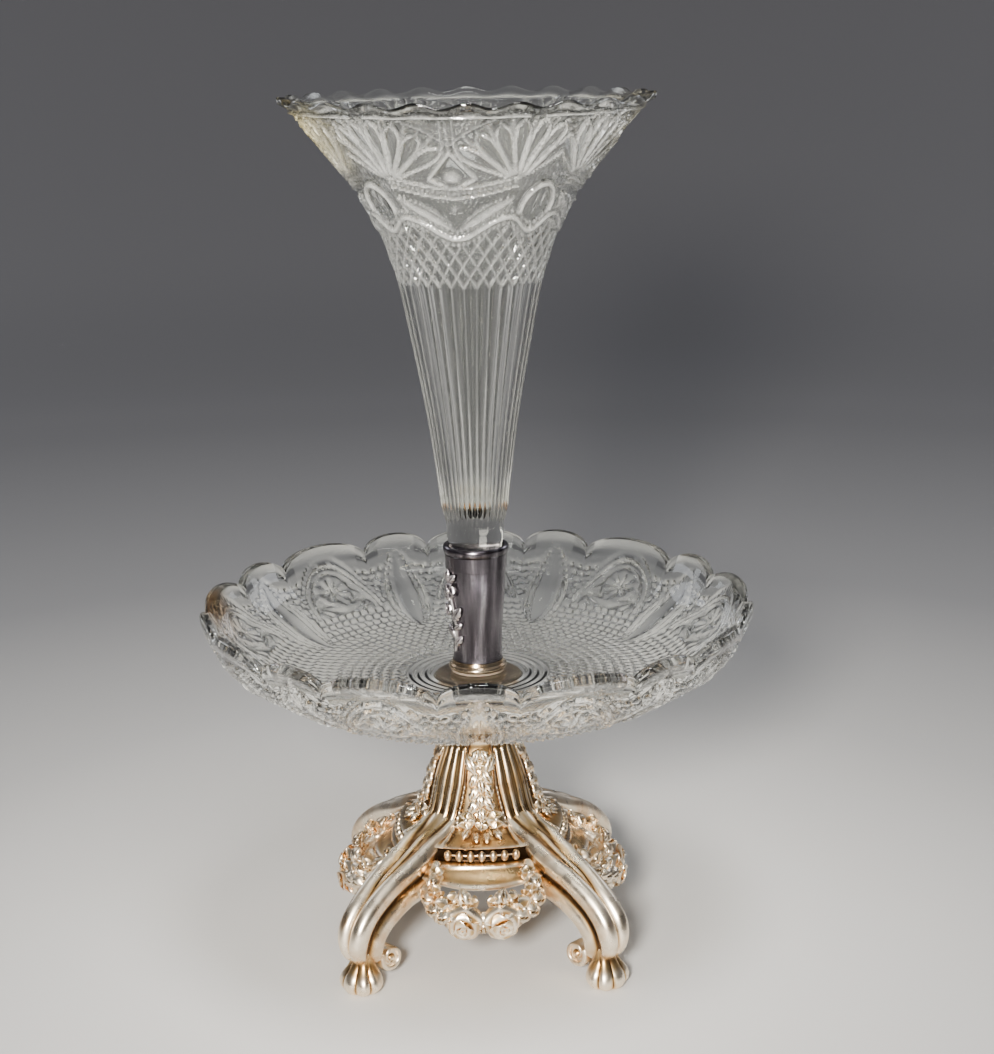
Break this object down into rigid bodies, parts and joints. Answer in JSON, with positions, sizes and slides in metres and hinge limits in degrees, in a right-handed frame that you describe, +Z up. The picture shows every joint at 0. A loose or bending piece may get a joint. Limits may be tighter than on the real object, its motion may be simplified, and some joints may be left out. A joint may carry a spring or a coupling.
{
  "type": "table centerpiece",
  "caption": "Upright table centerpiece: a cast plated stand on scroll legs carries a pressed glass bowl, with a glass trumpet vase standing in a plated sleeve.",
  "frame": {"origin": "on the table under the middle of the column", "axes": "+Z up through the column and the vase, -Y towards the viewer of the picture, +X to the right"},
  "size_m": [0.2532, 0.255, 0.3965],
  "materials": {
    "worn_silver_plate": "worn silver plate with brown base metal in the grooves",
    "turned_silver_plate": "bright turned silver plate",
    "tarnished_silver_plate": "dark tarnished silver plate",
    "clear_glass": "pressed clear glass",
    "brass": "dull brass",
    "steel": "threaded steel",
    "cork": "cork sheet"
  },
  "bodies": {
    "stand": {"column_casting": "worn_silver_plate", "leg_front_left": "worn_silver_plate", "leg_front_right": "worn_silver_plate", "leg_back_right": "worn_silver_plate", "leg_back_left": "worn_silver_plate", "drop_garland_front": "worn_silver_plate", "bead_wire_front": "worn_silver_plate", "rose_swag_front": "worn_silver_plate", "drop_garland_right": "worn_silver_plate", "bead_wire_right": "worn_silver_plate", "rose_swag_right": "worn_silver_plate", "drop_garland_back": "worn_silver_plate", "bead_wire_back": "worn_silver_plate", "rose_swag_back": "worn_silver_plate", "drop_garland_left": "worn_silver_plate", "bead_wire_left": "worn_silver_plate", "rose_swag_left": "worn_silver_plate", "seat_collar": "turned_silver_plate", "lower_washer": "cork", "glass_bowl": "clear_glass", "tie_rod": "steel", "bridge_washer": "brass", "rod_nut": "brass"},
    "sleeve_washer": {"upper_washer": "cork"},
    "sleeve": {"sleeve_foot": "turned_silver_plate", "sleeve_tube": "tarnished_silver_plate", "sleeve_lip": "turned_silver_plate", "flower_spray": "tarnished_silver_plate"},
    "peg_pad": {"peg_cork": "cork"},
    "vase": {"trumpet_vase": "clear_glass"}
  },
  "joints": [
    {"name": "sleeve_rise", "type": "slide", "parent": "stand", "child": "sleeve_washer", "axis": [0, 0, 1], "range_m": [0, 0.008]},
    {"name": "sleeve_turn", "type": "hinge", "parent": "sleeve_washer", "child": "sleeve", "pos_m": [0, 0, 0.1351], "axis": [0, 0, 1], "range_deg": [0, 1802]},
    {"name": "vase_turn", "type": "hinge", "parent": "sleeve", "child": "peg_pad", "pos_m": [0, 0, 0.154], "axis": [0, 0, 1], "continuous": true},
    {"name": "vase_lift", "type": "slide", "parent": "peg_pad", "child": "vase", "axis": [0, 0, 1], "range_m": [0, 0.045]}
  ],
  "couplings": [
    {"joint": "sleeve_turn", "follows": "sleeve_rise", "rad_per_m": 3927}
  ]
}
